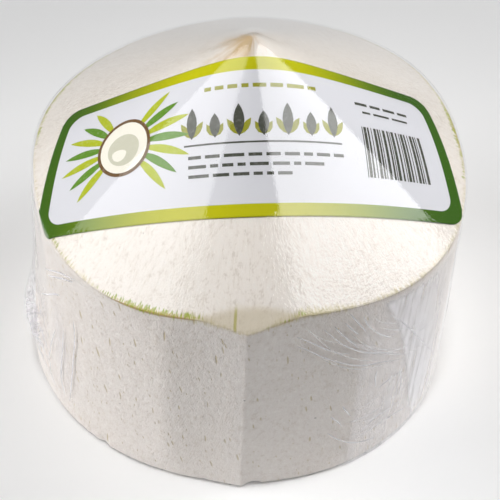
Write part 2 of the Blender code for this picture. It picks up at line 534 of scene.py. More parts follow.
# Bands of skin along the rim, each its middle and half width; the knife tore their edges
RAGGED_REACH = 0.0022
OLIVE_BAND = (0.0004, 0.0016)
CAMBIUM_BAND = (-0.0001, 0.0008)
GREEN_BAND = (0.0006, 0.0009)
STRAND_PLACE = -0.0034


def inside_band(tree, way_up, band, much):
    """How far a height lies inside a band that is full where much is 1, and gone where it is 0."""
    middle, half_width = band
    off_middle = calculate(tree, "ABSOLUTE", calculate(tree, "SUBTRACT", way_up, middle))
    return calculate(tree, "SUBTRACT", calculate(tree, "MULTIPLY", much, half_width), off_middle)


def by_part(tree, on_cone, drum_value, cone_value):
    """One value on the drum, and another on the cone."""
    return calculate(tree, "MULTIPLY_ADD", on_cone, cone_value - drum_value, drum_value)


def husk_surface():
    surface, tree, shader = new_surface("husk")
    lay = attribute(tree, "lay", "Vector")
    on_cut = attribute(tree, "chamfer")
    parts = add_node(tree, "ShaderNodeSeparateXYZ", {"Vector": lay})
    sideways, to_back, way_up = parts.outputs["X"], parts.outputs["Y"], parts.outputs["Z"]
    on_cone = soft_step(tree, way_up, -EDGE_BLEND, EDGE_BLEND)

    # Pale fibre in soft patches, combed on the cone, where it runs down from the apex
    patches = noise_value(tree, lay, PATCH_SIZE, 2.0)
    strands = noise_value(tree, lay, STRAND_SIZE, 3.0, 0.6)
    drum_tone = blend_colours(tree, patches, *DRUM_FIBRE)
    # The cone's fibre tones are painted lighter than the drum's: painted light on the top
    cone_tone = blend_colours(tree, patches, *CONE_FIBRE_PAINTED_LIGHT)
    # Painted shade darkens the back of the cone
    cone_tone = tint(tree, cone_tone, soft_step(tree, to_back, *BACK_SHADE_FADE), *BACK_PAINTED_SHADE)
    tone = blend_colours(tree, on_cone, drum_tone, cone_tone)
    combed = by_part(tree, on_cone, *COMBED)
    tone = tint(tree, tone, soft_step(tree, strands, 0.5, 0.72), COMBED_FIBRE, combed)

    # The sponge of the cut fibre, lumps with finer crumbs in them, mottled with painted shade and
    # painted light
    lumps = noise_value(tree, lay, LUMP_SIZE, 2.0, 0.6)
    crumbs = noise_value(tree, lay, CRUMB_SIZE, 3.0, 0.65)
    sponge = calculate(tree, "MULTIPLY_ADD", lumps, 0.5, calculate(tree, "MULTIPLY", crumbs, 0.5))
    grain_light_and_shade = by_part(tree, on_cone, *GRAIN_LIGHT_AND_SHADE)
    tone = tint(tree, tone, soft_step(tree, sponge, 0.52, 0.64), GRAIN_PAINTED_SHADE, grain_light_and_shade)
    tone = tint(tree, tone, soft_step(tree, sponge, 0.48, 0.36), GRAIN_PAINTED_LIGHT, grain_light_and_shade)

    # Cut ends of fibre bundles on the drum, which show as short brown-yellow dashes that lean
    lean = calculate(
        tree, "MULTIPLY_ADD", patches, PIT_STRAY, calculate(tree, "MULTIPLY", way_up, PIT_LEAN))
    leaning = slanted(tree, lay, lean)
    pits = dashes(tree, leaning, *DOTS)
    for pit in LONG_PITS:
        pits = calculate(tree, "MAXIMUM", pits, dashes(tree, leaning, *pit))
    pits = calculate(tree, "MULTIPLY", pits, by_part(tree, on_cone, *PITTED))
    tone = tint(tree, tone, pits, *CUT_END)

    # Long fine scratches that cross the cone at a slant, and a few dark specks everywhere
    slanting = slanted(tree, lay, calculate(tree, "MULTIPLY", way_up, SCRATCH_LEAN))
    scratches = calculate(tree, "MULTIPLY", dashes(tree, slanting, *SCRATCHES), on_cone)
    tone = tint(tree, tone, scratches, *SCRATCH)
    tone = tint(tree, tone, dashes(tree, lay, *SPECKS), *SPECK)

    # The olive layer left along the rim, and the paler one that the steep cut goes down to
    tufts = noise_value(tree, lay, TUFT_SIZE, 1.0)
    ragged = calculate(tree, "MULTIPLY_ADD", tufts, 2.0 * RAGGED_REACH, -RAGGED_REACH)
    olive = inside_band(tree, way_up, OLIVE_BAND, attribute(tree, "olive"))
    olive = soft_step(tree, calculate(tree, "ADD", olive, ragged), -0.0008, 0.0016)
    tone = tint(tree, tone, olive, *OLIVE_LAYER)
    tone = tint(tree, tone, on_cut, *CUT_LAYER)

    # Green skin over its brown growing layer, both of them gone where the steep cut is
    off_cut = calculate(tree, "SUBTRACT", 1.0, on_cut)
    skin = calculate(tree, "MULTIPLY", attribute(tree, "green"), off_cut)
    cambium = soft_step(tree, inside_band(tree, way_up, CAMBIUM_BAND, skin), 0.0, 0.0004)
    tone = tint(tree, tone, cambium, *CAMBIUM)
    green = calculate(tree, "ADD", inside_band(tree, way_up, GREEN_BAND, skin), ragged)
    green = calculate(
        tree, "MULTIPLY", soft_step(tree, green, 0.0, 0.0005), soft_step(tree, skin, 0.02, 0.2))
    skin_tone = blend_colours(tree, soft_step(tree, tufts, 0.48, 0.60), *SKIN_TIPS)
    tone = tint(tree, tone, green, skin_tone, SKIN_COVER)

    # One strand of the inner skin crosses the steep cut
    off_strand = calculate(tree, "ABSOLUTE", calculate(tree, "SUBTRACT", sideways, STRAND_PLACE))
    strand = calculate(tree, "MULTIPLY", soft_step(tree, off_strand, 0.0006, 0.0002), on_cut)
    tone = tint(tree, tone, strand, *INNER_SKIN)

    # Brown juice stain running down from the apex, in streaks
    near_apex = attribute(tree, "stain")
    runs = noise_value(tree, lay, STAIN_RUN_SIZE, 2.0)
    uneven = calculate(tree, "ADD", near_apex, calculate(tree, "MULTIPLY_ADD", runs, 0.8, -0.4))
    stain = calculate(
        tree, "MULTIPLY", soft_step(tree, uneven, 0.12, 0.8), soft_step(tree, near_apex, 0.0, 0.2))
    tone = tint(tree, tone, stain, *JUICE)

    height = calculate(tree, "MULTIPLY_ADD", strands, combed, sponge)
    height = calculate(tree, "SUBTRACT", height, calculate(tree, "MULTIPLY", pits, PIT_DEPTH))
    inputs = {"Strength": by_part(tree, on_cone, *ROUGH), "Distance": GRAIN_DEPTH, "Height": height}
    bump = add_node(tree, "ShaderNodeBump", inputs)
    tree.links.new(tone, shader.inputs["Base Color"])
    tree.links.new(bump.outputs["Normal"], shader.inputs["Normal"])
    shader.inputs["Roughness"].default_value = 0.82
    shader.inputs["Specular IOR Level"].default_value = 0.25
    return surface


def apex_stain(angle, way_up):
    """Nearness to the stained side of the apex, which is the front left, and to a streak there."""
    from_apex = max(0.0, RIM_RADIUS * CONE_SLANT - way_up)
    streak = 0.9 * angle_hump(angle, -22.0, 26.0) * math.exp(-from_apex / 0.018)
    return max(streak, math.exp(-from_apex / 0.010) * (0.35 + 0.65 * angle_hump(angle, -70.0, 90.0)))


husk_rings = nut_rings(HUSK_SEGMENTS, HUSK_STEPS, 0.0, NUT_FLOOR, husk_relief)
husk_mesh = skin_of_rings(
    husk_rings, in_frame(Vector((0.0, 0.0)), cone_height(Vector((0.0, 0.0)), 0.0)),
    in_frame(BASE_SHIFT, NUT_FLOOR + DISH_DEPTH),
    (("green", left_along_rim(GREEN_LEFT)), ("olive", left_along_rim(OLIVE_LEFT)),
     ("chamfer", on_chamfer), ("stain", apex_stain)))
husk = new_piece("husk", husk_mesh, [husk_surface()], 35.0)
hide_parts("coconut")

# The label
# One printed sheet of white paper film, a rounded rectangle rolled over the front of the cone
# under the clear film, its lower corners bent down over the rim. Its border runs from dark green
# at the ends to lime in the middle.
LABEL_WIDTH = 0.128
LABEL_HEIGHT = 0.0435
LABEL_CORNER = 0.005
LABEL_CENTRE = Vector((-0.0015, -0.0283))
LABEL_TURN = math.radians(1.9)
LABEL_LIFT = 0.00025
PAPER_THICKNESS = 0.00012
BORDER_WIDTH = 0.0036
FIELD_CORNER = 0.0045
LABEL_COLUMNS = 216
LABEL_ROWS = 76
LABEL_WHITE = paint(220, 220, 225)
BORDER_GREEN = paint(58, 98, 20)
BORDER_OLIVE = paint(106, 134, 14)
BORDER_LIME = paint(192, 190, 3)
TOOTH_WIDTH = 0.0012


def lay_on_nut(along, across, lift):
    """Roll a place on the flat label on to the nut, over the rim where it passes it."""
    turned = Vector((
        along * math.cos(LABEL_TURN) - across * math.sin(LABEL_TURN),
        along * math.sin(LABEL_TURN) + across * math.cos(LABEL_TURN)))
    flat = LABEL_CENTRE + turned
    place = direction(heading_of(flat) * CONE_SLANT) * (flat.length / CONE_SLANT)
    centred = place - RIM_SHIFT
    rim_angle = heading_of(centred)
    rim = rim_place(rim_angle, 0.0)
    past_rim = (centred.length - (rim - RIM_SHIFT).length) * CONE_SLANT
    if past_rim > 0.0:
        return wall_place(rim_angle, past_rim, lift, NUT_FLOOR)
    return in_frame(place, cone_height(place, lift))


def paper_tooth():
    """A group that gives paper a fine, faint unevenness: the height for a Bump node."""
    group = bpy.data.node_groups.new("paper_tooth", "ShaderNodeTree")
    group.interface.new_socket("Vector", in_out="INPUT", socket_type="NodeSocketVector")
    group.interface.new_socket("Width", in_out="INPUT", socket_type="NodeSocketFloat")
    group.interface.new_socket("Height", in_out="OUTPUT", socket_type="NodeSocketFloat")
    given = group.nodes.new("NodeGroupInput")
    result = group.nodes.new("NodeGroupOutput")
    scale = calculate(group, "DIVIDE", 1.0, given.outputs["Width"])
    inputs = {"Vector": given.outputs["Vector"], "Scale": scale, "Detail": 2.0}
    tooth = add_node(group, "ShaderNodeTexNoise", inputs)
    group.links.new(tooth.outputs["Fac"], result.inputs["Height"])
    return group


TOOTH = paper_tooth()


def add_tooth(tree, shader, strength):
    place = add_node(tree, "ShaderNodeTexCoord", {}).outputs["Object"]
    tooth = tree.nodes.new("ShaderNodeGroup")
    tooth.node_tree = TOOTH
    tooth.inputs["Width"].default_value = TOOTH_WIDTH
    tree.links.new(place, tooth.inputs["Vector"])
    inputs = {"Strength": strength, "Distance": 0.0001, "Height": tooth.outputs["Height"]}
    bump = add_node(tree, "ShaderNodeBump", inputs)
    tree.links.new(bump.outputs["Normal"], shader.inputs["Normal"])


def label_surface():
    surface, tree, shader = new_surface("printed_paper")
    uv = add_node(tree, "ShaderNodeUVMap", {}, uv_map="label_flat").outputs["UV"]
    flat = add_node(tree, "ShaderNodeSeparateXYZ", {"Vector": uv})
    along = calculate(
        tree, "MULTIPLY", calculate(tree, "SUBTRACT", flat.outputs["X"], 0.5), LABEL_WIDTH)
    across = calculate(
        tree, "MULTIPLY", calculate(tree, "SUBTRACT", flat.outputs["Y"], 0.5), LABEL_HEIGHT)

    # The white field is a smaller rounded rectangle inside the border
    half_width = LABEL_WIDTH / 2.0 - BORDER_WIDTH - FIELD_CORNER
    half_height = LABEL_HEIGHT / 2.0 - BORDER_WIDTH - FIELD_CORNER
    past_x = calculate(tree, "SUBTRACT", calculate(tree, "ABSOLUTE", along), half_width)
    past_y = calculate(tree, "SUBTRACT", calculate(tree, "ABSOLUTE", across), half_height)
    corner_x = calculate(tree, "MAXIMUM", past_x, 0.0)
    corner_y = calculate(tree, "MAXIMUM", past_y, 0.0)
    square_y = calculate(tree, "MULTIPLY", corner_y, corner_y)
    squares = calculate(tree, "MULTIPLY_ADD", corner_x, corner_x, square_y)
    past_corner = calculate(tree, "SUBTRACT", calculate(tree, "SQRT", squares), FIELD_CORNER)
    in_border = soft_step(tree, past_corner, -0.00008, 0.00008)

    # The border's inks run into each other on both sides of a place left of the label's middle
    off_middle = calculate(tree, "ABSOLUTE", calculate(tree, "ADD", along, 0.004))
    lime = soft_step(tree, off_middle, 0.050, 0.012)
    olive = soft_step(tree, off_middle, 0.062, 0.034)
    border = blend_colours(tree, olive, BORDER_GREEN, BORDER_OLIVE)
    border = blend_colours(tree, lime, border, BORDER_LIME)
    tone = blend_colours(tree, in_border, LABEL_WHITE, border)
    tree.links.new(tone, shader.inputs["Base Color"])
    shader.inputs["Roughness"].default_value = 0.5
    shader.inputs["Specular IOR Level"].default_value = 0.12
    add_tooth(tree, shader, 0.25)
    return surface


def label_mesh():
    sheet = bmesh.new()
    bmesh.ops.create_grid(
        sheet, x_segments=LABEL_COLUMNS, y_segments=LABEL_ROWS, size=1.0, calc_uvs=True)
    flat_places = {}
    for corner in sheet.verts:
        along = corner.co.x * LABEL_WIDTH / 2.0
        half_height = LABEL_HEIGHT / 2.0
        into_corner = abs(along) - (LABEL_WIDTH / 2.0 - LABEL_CORNER)
        if into_corner > 0.0:
            half_height -= LABEL_CORNER - math.sqrt(max(0.0, LABEL_CORNER ** 2 - into_corner ** 2))
        across = corner.co.y * half_height
        flat_places[corner.index] = (along / LABEL_WIDTH + 0.5, across / LABEL_HEIGHT + 0.5)
        corner.co = lay_on_nut(along, across, LABEL_LIFT)
    flat_map = sheet.loops.layers.uv.new("label_flat")
    for face in sheet.faces:
        for loop in face.loops:
            loop[flat_map].uv = flat_places[loop.vert.index]
    bmesh.ops.recalc_face_normals(sheet, faces=sheet.faces[:])
    if sum(face.normal.z for face in sheet.faces) < 0.0:
        bmesh.ops.reverse_faces(sheet, faces=sheet.faces[:])
    return sheet


label = new_piece("label_sheet", label_mesh(), [label_surface()], 60.0)
paper = label.modifiers.new("paper", "SOLIDIFY")
paper.thickness = PAPER_THICKNESS
paper.offset = 1.0
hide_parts("label")

# The print
# What is printed on the label's white field, in flat inks: a sliced half nut between two palm
# leaves, a row of leaf marks, rows of plain dashes and a block of bars. None of it spells or
# stands for anything.
INK_LIFT = LABEL_LIFT + PAPER_THICKNESS + 0.00003
INK_LAYER = 0.00002
INKS = {
    "ink_leaf": paint(98, 142, 44), "ink_lime": paint(176, 186, 40), "ink_brown": paint(112, 84, 52),
    "ink_grey": paint(74, 76, 66), "ink_cream": paint(244, 240, 226), "ink_shade": paint(206, 204, 184),
    "ink_olive": paint(150, 150, 40)}
INK_PATCH = 0.0022
prints = bmesh.new()


def print_patch(half_length, half_width, place, ink, layer):
    """One flat shape of ink: a grid from -1 to 1 each way, moved to its place on the label."""
    columns = max(1, math.ceil(2.0 * half_length / INK_PATCH))
    rows = max(1, math.ceil(2.0 * half_width / INK_PATCH))
    grid = bmesh.ops.create_grid(prints, x_segments=columns, y_segments=rows, size=1.0)
    for corner in grid["verts"]:
        along, across = place(corner.co.x, corner.co.y)
        corner.co = lay_on_nut(along, across, INK_LIFT + layer * INK_LAYER)
    shape_faces = {face for corner in grid["verts"] for face in corner.link_faces}
    for face in shape_faces:
        face.material_index = list(INKS).index(ink)


def print_bar(along, across, length, width, ink="ink_grey", layer=0):
    half_length, half_width = length / 2.0, width / 2.0

    def place(x, y):
        return along + x * half_length, across + y * half_width
    print_patch(half_length, half_width, place, ink, layer)


def print_disc(along, across, radius, ink, layer=0, flat_top=1.0):
    """A disc, or a slice of one whose upper half is pressed flatter."""
    def place(x, y):
        round_x = x * math.sqrt(1.0 - y * y / 2.0)
        round_y = y * math.sqrt(1.0 - x * x / 2.0)
        return along + radius * round_x, across + radius * round_y * (flat_top if y > 0.0 else 1.0)
    print_patch(radius * 1.5, radius * 1.5, place, ink, layer)


def print_leaf(along, across, heading, length, width, ink, curl=0.0, layer=0):
    """A pointed leaf from its foot towards its heading, in degrees from the label's right."""
    turn = math.radians(heading)

    def place(x, y):
        way = (x + 1.0) / 2.0
        side = y * width / 2.0 * math.sin(math.pi * way) ** 0.8 + curl * way * way
        forward = way * length
        return (along + forward * math.cos(turn) - side * math.sin(turn),
                across + forward * math.sin(turn) + side * math.cos(turn))
    print_patch(length / 1.4, width / 2.0, place, ink, layer)


# The half nut, at the left of the field, between two palm leaves
NUT_MARK = (-0.037, 0.0015)
PALM_BLADES = 7
PALM_TOP = 38.0
PALM_STEP = 15.5
PALM_FOOT = 0.0062
for side in (1.0, -1.0):
    for count in range(PALM_BLADES):
        heading = 90.0 - side * (PALM_TOP + PALM_STEP * count)
        length = 0.0125 + 0.003 * math.sin(math.pi * (count + 1) / (PALM_BLADES + 1.0))
        print_leaf(
            NUT_MARK[0] + PALM_FOOT * math.cos(math.radians(heading)),
            NUT_MARK[1] + PALM_FOOT * math.sin(math.radians(heading)),
            heading, length - 0.001 * (count % 2), 0.0024,
            "ink_leaf" if count % 2 else "ink_lime", curl=-side * 0.0016, layer=count % 2)
print_disc(*NUT_MARK, 0.0088, "ink_brown", layer=3)
print_disc(*NUT_MARK, 0.0078, "ink_cream", layer=4)
print_disc(NUT_MARK[0], NUT_MARK[1] - 0.0004, 0.0052, "ink_shade", layer=5, flat_top=0.85)
print_disc(NUT_MARK[0] - 0.0012, NUT_MARK[1] - 0.0018, 0.0024, "ink_cream", layer=6, flat_top=0.5)

# A row of leaf marks in the middle, in two sizes, over a long thin rule
MARKS_START = -0.0155
MARKS_PITCH = 0.0066
MARKS_COUNT = 7
for count in range(MARKS_COUNT):
    middle = MARKS_START + MARKS_PITCH * count
    tall = 0.0090 if count % 2 == 0 else 0.0068
    print_leaf(middle, 0.0000, 90.0, tall, 0.0030, "ink_grey", layer=1)
    for side in (1.0, -1.0):
        print_leaf(
            middle, 0.0004, 90.0 - side * 42.0, tall * 0.62, 0.0019, "ink_olive", curl=side * 0.0006)
print_bar(MARKS_START + 3.0 * MARKS_PITCH, -0.0016, 0.0440, 0.0005)

# Rows of short dashes of uneven length
DASH_LENGTHS = (0.0018, 0.0058)
DASH_GAP = 0.0011
LEAST_LEFT = 0.002
# Each row's start and end along the label, its place across it, its width and its ink
RULES = (
    (-0.0165, 0.0265, -0.0050, 0.0009, "ink_grey"), (-0.0165, 0.0205, -0.0076, 0.0009, "ink_grey"),
    (-0.0165, 0.0145, -0.0102, 0.0009, "ink_grey"), (-0.0120, 0.0200, 0.0138, 0.0011, "ink_olive"),
    (0.0330, 0.0545, 0.0118, 0.0009, "ink_grey"), (0.0350, 0.0530, 0.0092, 0.0007, "ink_grey"))
DASH_DRAW = random.Random(11)
for start, end, across, width, ink in RULES:
    reach = start
    while reach < end - LEAST_LEFT:
        length = min(DASH_DRAW.uniform(*DASH_LENGTHS), end - reach)
        print_bar(reach + length / 2.0, across, length, width, ink)
        reach += length + DASH_GAP

# The block of bars, its widths and gaps from a plain formula
BARS_START, BARS_END, BARS_MIDDLE, BARS_TALL = 0.0335, 0.0550, -0.0030, 0.0150
BAR_WIDTH = 0.00030
BAR_GAP = 0.00032
reach = BARS_START
bar_count = 0
while reach < BARS_END:
    thick = BAR_WIDTH * (1 + (bar_count * 5) % 3)
    print_bar(reach + thick / 2.0, BARS_MIDDLE, thick, BARS_TALL)
    reach += thick + BAR_GAP * (1 + (bar_count * 7 + 1) % 4 // 2)
    bar_count += 1


def ink_surface(name, colour):
    surface, tree, shader = new_surface(name)
    place = add_node(tree, "ShaderNodeTexCoord", {}).outputs["Object"]
    patchy = add_node(tree, "ShaderNodeTexNoise", {"Vector": place, "Scale": 900.0, "Detail": 2.0})
    faded = tuple(0.8 * channel + 0.2 for channel in colour[:3]) + (1.0,)
    share = calculate(tree, "MULTIPLY", soft_step(tree, patchy.outputs["Fac"], 0.45, 0.75), 0.35)
    tree.links.new(blend_colours(tree, share, colour, faded), shader.inputs["Base Color"])
    shader.inputs["Roughness"].default_value = 0.45
    shader.inputs["Specular IOR Level"].default_value = 0.12
    add_tooth(tree, shader, 0.15)
    return surface


bmesh.ops.recalc_face_normals(prints, faces=prints.faces[:])
for face in prints.faces:
    if face.normal.z < 0.0:
        face.normal_flip()
ink_surfaces = [ink_surface(name, colour) for name, colour in INKS.items()]
new_piece("label_print", prints, ink_surfaces, 60.0)

# The clear film
# One sheet of thin stretch film pulled tight over the nut and the label and gathered under the
# base. It lies close and smooth over the cone; round the drum it is creased, slack in places,
# and milky where several layers lie on each other.
FILM_LIFT = 0.00055
FILM_SEGMENTS = 540
FILM_STEPS = (20, 4, 76, 50)
GATHERS = 34
GATHER_HEIGHT = 0.0011
BUNCH_HEIGHT = 0.0036
BUNCH_ANGLE = (-80.0, 20.0)
BUNCH_LEVEL = (0.021, 0.014)
SLACK_HEIGHT, SLACK_WIDTH = 0.0005, 0.03
SLACK_SHIFT = Vector((3.1, 0.0, 0.0))
SLACK_START = 0.006
PULL_HEIGHT, PULL_WIDTH, PULL_LENGTH = 0.0002, 0.005, 0.03
FILM_STRAND_SIZE = (0.0014, 0.007)
FILM_CRUMB_SIZE = (0.0008, 0.0009)
FILM_STREAK_SIZE = (0.0020, 0.03)
FILM_MILK = paint(238, 237, 242)
# Thin film mirrors at both its faces, about as much as one face of this higher index
BOTH_FACES_IOR = 1.77


def film_relief(angle, way_up, height):
    """Slack and tension in the film, and the gathers that run in to the middle of the base."""
    spot = direction(angle) * RIM_RADIUS
    if height <= 0.0:
        share = limited((-RIM_HEIGHT - way_up) / BASE_RADIUS)
        stray = 2.0 * noise.noise(Vector((spot.x, spot.y, 0.0)) / 0.01)
        fold = math.sin(math.radians(angle) * GATHERS + stray)
        return GATHER_HEIGHT * share * share * (0.5 + 0.5 * fold)
    down = limited(-way_up / SLACK_START)
    near_foot = eased((height - BASE_EDGE_ROUNDING) / SLACK_START)
    slack = max(0.0, noise.noise(Vector((spot.x, spot.y, way_up)) / SLACK_WIDTH + SLACK_SHIFT))
    pull = abs(noise.noise(Vector((spot.x / PULL_WIDTH, spot.y / PULL_WIDTH, way_up / PULL_LENGTH))))
    bunch = angle_hump(angle, *BUNCH_ANGLE) * hump(height, *BUNCH_LEVEL)
    lumps = abs(math.sin(height / 0.0021 + 0.10 * angle + 3.0 * pull))
    relief = SLACK_HEIGHT * slack + PULL_HEIGHT * slack * pull + bunch * BUNCH_HEIGHT * lumps
    return down * near_foot * relief


# The sheet's end comes down the drum at the right in a slanting edge, with a thin veil before it
SHEET_END = 31.0
SHEET_END_SLANT = 22.0
SHEET_END_WIDTH = 30.0
VEIL_START = 28.5
VEIL_WIDTH = 45.0
END_MILK, VEIL_MILK = 0.8, 0.4

# Where else it lies double: how much, and middle and half width of its angle and way up
DOUBLED = (
    (0.3, 47.0, 17.0, -0.052, 0.034), (0.45, -58.0, 6.0, -0.045, 0.03),
    (0.6, -77.0, 18.0, -0.054, 0.015), (0.5, -150.0, 22.0, -0.035, 0.04))


def film_layers(angle, way_up):
    """How milky the film is where extra layers of it lie on each other."""
    height = RIM_HEIGHT + way_up
    edge = SHEET_END + SHEET_END_SLANT * max(0.0, 1.0 - height / RIM_HEIGHT) ** 0.6
    past_edge = wrapped(angle - edge)
    right = limited(past_edge / 1.2) * angle_hump(angle, edge, SHEET_END_WIDTH)
    right *= limited(-way_up / 0.004) * limited(height / 0.01)
    veil = limited((angle - VEIL_START) / 1.5) * angle_hump(angle, 30.0, VEIL_WIDTH)
    veil *= eased(-way_up / 0.005)
    doubled = sum(
        much * angle_hump(angle, middle, half) * hump(way_up, level, half_tall)
        for much, middle, half, level, half_tall in DOUBLED)
    return END_MILK * right + VEIL_MILK * veil + doubled


def over_label(angle, way_up):
    """Whether the film lies smooth there, over the label and the apex, or on rough husk."""
    place = cone_place(angle, max(0.0, way_up - edge_drop(angle)), 0.0).to_2d() - AXIS_PLACE
    flat = direction(heading_of(place) / CONE_SLANT) * place.length * CONE_SLANT
    off_centre = flat - LABEL_CENTRE
    along = off_centre.x * math.cos(LABEL_TURN) + off_centre.y * math.sin(LABEL_TURN)
    across = off_centre.y * math.cos(LABEL_TURN) - off_centre.x * math.sin(LABEL_TURN)
    inside = min(LABEL_WIDTH / 2.0 - abs(along), LABEL_HEIGHT / 2.0 - abs(across))
    round_apex = eased((way_up - 0.061) / 0.005)
    return max(round_apex, eased(inside / 0.001)) if way_up > -0.002 else 0.0


def film_surface():
    surface, tree, principled = new_surface("clear_film")
    tree.nodes.remove(principled)
    lay = attribute(tree, "lay", "Vector")
    smooth = attribute(tree, "over_label")
    strands = noise_value(tree, lay, FILM_STRAND_SIZE, 2.0, 0.6)
    crumbs = noise_value(tree, lay, FILM_CRUMB_SIZE, 2.0)
    height = calculate(tree, "MULTIPLY_ADD", strands, 0.2, calculate(tree, "MULTIPLY", crumbs, 0.4))
    height = calculate(tree, "MULTIPLY", height, calculate(tree, "MULTIPLY_ADD", smooth, -0.9, 1.0))
    bump = add_node(tree, "ShaderNodeBump", {"Strength": 0.3, "Distance": 0.0006, "Height": height})
    roughness = calculate(tree, "MULTIPLY_ADD", smooth, -0.08, 0.13)
    gloss = add_node(
        tree, "ShaderNodeBsdfGlossy",
        {"Color": (1.0, 1.0, 1.0, 1.0), "Roughness": roughness, "Normal": bump.outputs["Normal"]})
    clear = add_node(tree, "ShaderNodeBsdfTransparent", {"Color": (0.99, 0.99, 0.99, 1.0)})
    milk = add_node(tree, "ShaderNodeBsdfDiffuse", {"Color": FILM_MILK})
    streaks = noise_value(tree, lay, FILM_STREAK_SIZE, 3.0, 0.6)
    milky = calculate(
        tree, "MULTIPLY", attribute(tree, "layers"), soft_step(tree, streaks, 0.05, 0.6))
    milky = calculate(tree, "MULTIPLY_ADD", milky, 0.65, 0.006)
    body = add_node(
        tree, "ShaderNodeMixShader", {0: milky, 1: clear.outputs["BSDF"], 2: milk.outputs["BSDF"]})
    mirrored = add_node(
        tree, "ShaderNodeFresnel", {"IOR": BOTH_FACES_IOR, "Normal": bump.outputs["Normal"]})
    behind = add_node(tree, "ShaderNodeNewGeometry", {}).outputs["Backfacing"]
    outside = calculate(tree, "SUBTRACT", 1.0, behind)
    share = calculate(tree, "MULTIPLY", mirrored.outputs["Fac"], outside)
    whole = add_node(
        tree, "ShaderNodeMixShader",
        {0: share, 1: body.outputs["Shader"], 2: gloss.outputs["BSDF"]})
    tree.links.new(whole.outputs["Shader"], tree.nodes["Material Output"].inputs["Surface"])
    return surface


film_rings = nut_rings(FILM_SEGMENTS, FILM_STEPS, FILM_LIFT, 0.0, film_relief)
film_mesh = skin_of_rings(
    film_rings, in_frame(Vector((0.0, 0.0)), cone_height(Vector((0.0, 0.0)), FILM_LIFT)),
    in_frame(BASE_SHIFT, DISH_DEPTH), (("layers", film_layers), ("over_label", over_label)))
CLEAR_FILM = film_surface()
film = new_piece("film_skin", film_mesh, [CLEAR_FILM], 80.0)
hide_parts("film_wrap")

# Creases in the film
# Where the film is slack it is pinched into narrow doubled creases, which lie on the skin and
# catch the light. Each route is a few places on the drum: angle, and height in millimetres.
CREASE_ROUTES = (
    ((12.0, 68.3), (16.7, 63.9), (19.8, 60.9), (23.7, 57.9), (26.0, 57.1)),
    ((12.3, 64.1), (15.1, 61.7), (19.0, 57.8), (23.3, 54.3), (27.7, 51.3), (32.3, 48.9), (36.6, 46.9),
     (44.3, 41.7)),
    ((18.8, 69.5), (21.2, 65.8), (24.1, 61.6), (27.4, 58.3), (31.6, 54.7), (36.0, 51.5), (42.7, 45.7)),
    ((21.4, 70.1), (24.6, 64.4), (28.5, 58.3)),
    ((24.0, 70.8), (26.1, 67.3), (27.9, 64.6)),
    ((25.1, 74.1), (27.4, 69.6), (29.6, 65.5)),
    ((28.6, 71.9), (29.7, 68.4), (32.1, 64.1), (34.9, 60.2), (38.3, 56.5)),
    ((36.4, 67.8), (40.1, 62.7), (44.5, 55.3), (52.3, 40.7), (60.3, 26.4)),
    ((55.2, 48.2), (51.8, 48.7), (48.0, 50.1)),
    ((22.7, 21.2), (25.9, 16.8), (30.4, 12.7), (35.1, 9.9), (39.0, 8.7)),
    ((26.0, 33.0), (27.0, 30.5), (28.7, 27.1)),
    ((23.1, 28.8), (25.0, 26.2), (26.5, 23.3)),
    ((35.5, 14.5), (43.6, 14.3), (49.5, 12.3)),
    ((34.6, 17.8), (37.9, 19.6), (43.3, 19.4), (47.0, 19.9)),
    ((36.5, 34.7), (40.8, 35.8), (45.3, 35.6)),
    ((35.1, 44.2), (34.9, 40.5), (35.7, 36.0)),
    ((43.5, 37.3), (45.3, 29.7), (45.4, 22.8)),
    ((-55.6, 42.8), (-57.0, 31.5), (-58.6, 18.1), (-57.4, 10.5)),
    ((-50.6, 52.1), (-50.6, 43.9), (-52.2, 32.4), (-53.9, 20.3), (-55.5, 9.6)),
    ((-59.6, 38.4), (-62.4, 29.6), (-64.2, 21.8), (-64.3, 13.7), (-61.0, 10.1)),
    ((-64.0, 59.9), (-55.0, 67.6), (-47.3, 72.5)),
    ((-62.5, 59.0), (-54.0, 66.2), (-48.5, 70.4)),
    ((-72.2, 39.2), (-60.2, 53.3), (-56.0, 57.2)))
CREASE_STEPS = 40
CREASE_SIDES = 6
CREASE_MILK = 0.8
CREASE_WIDTH = 0.0006
CREASE_HEIGHT = 0.00008
FAINT_MILK = 0.3
creases = bmesh.new()
crease_lay = creases.verts.layers.float_vector.new("lay")
crease_milk = creases.verts.layers.float.new("layers")


def smooth_route(route, way):
    """A place on a smooth curve through the route's places, from 0 to 1 along it."""
    reach = way * (len(route) - 1)
    start = min(int(reach), len(route) - 2)
    share = reach - start
    before, first, second, after = (
        Vector(route[max(0, min(len(route) - 1, start + step))]) for step in (-1, 0, 1, 2))
    return 0.5 * (
        2.0 * first + (second - before) * share
        + (2.0 * before - 5.0 * first + 4.0 * second - after) * share ** 2
        + (3.0 * first - before - 3.0 * second + after) * share ** 3)


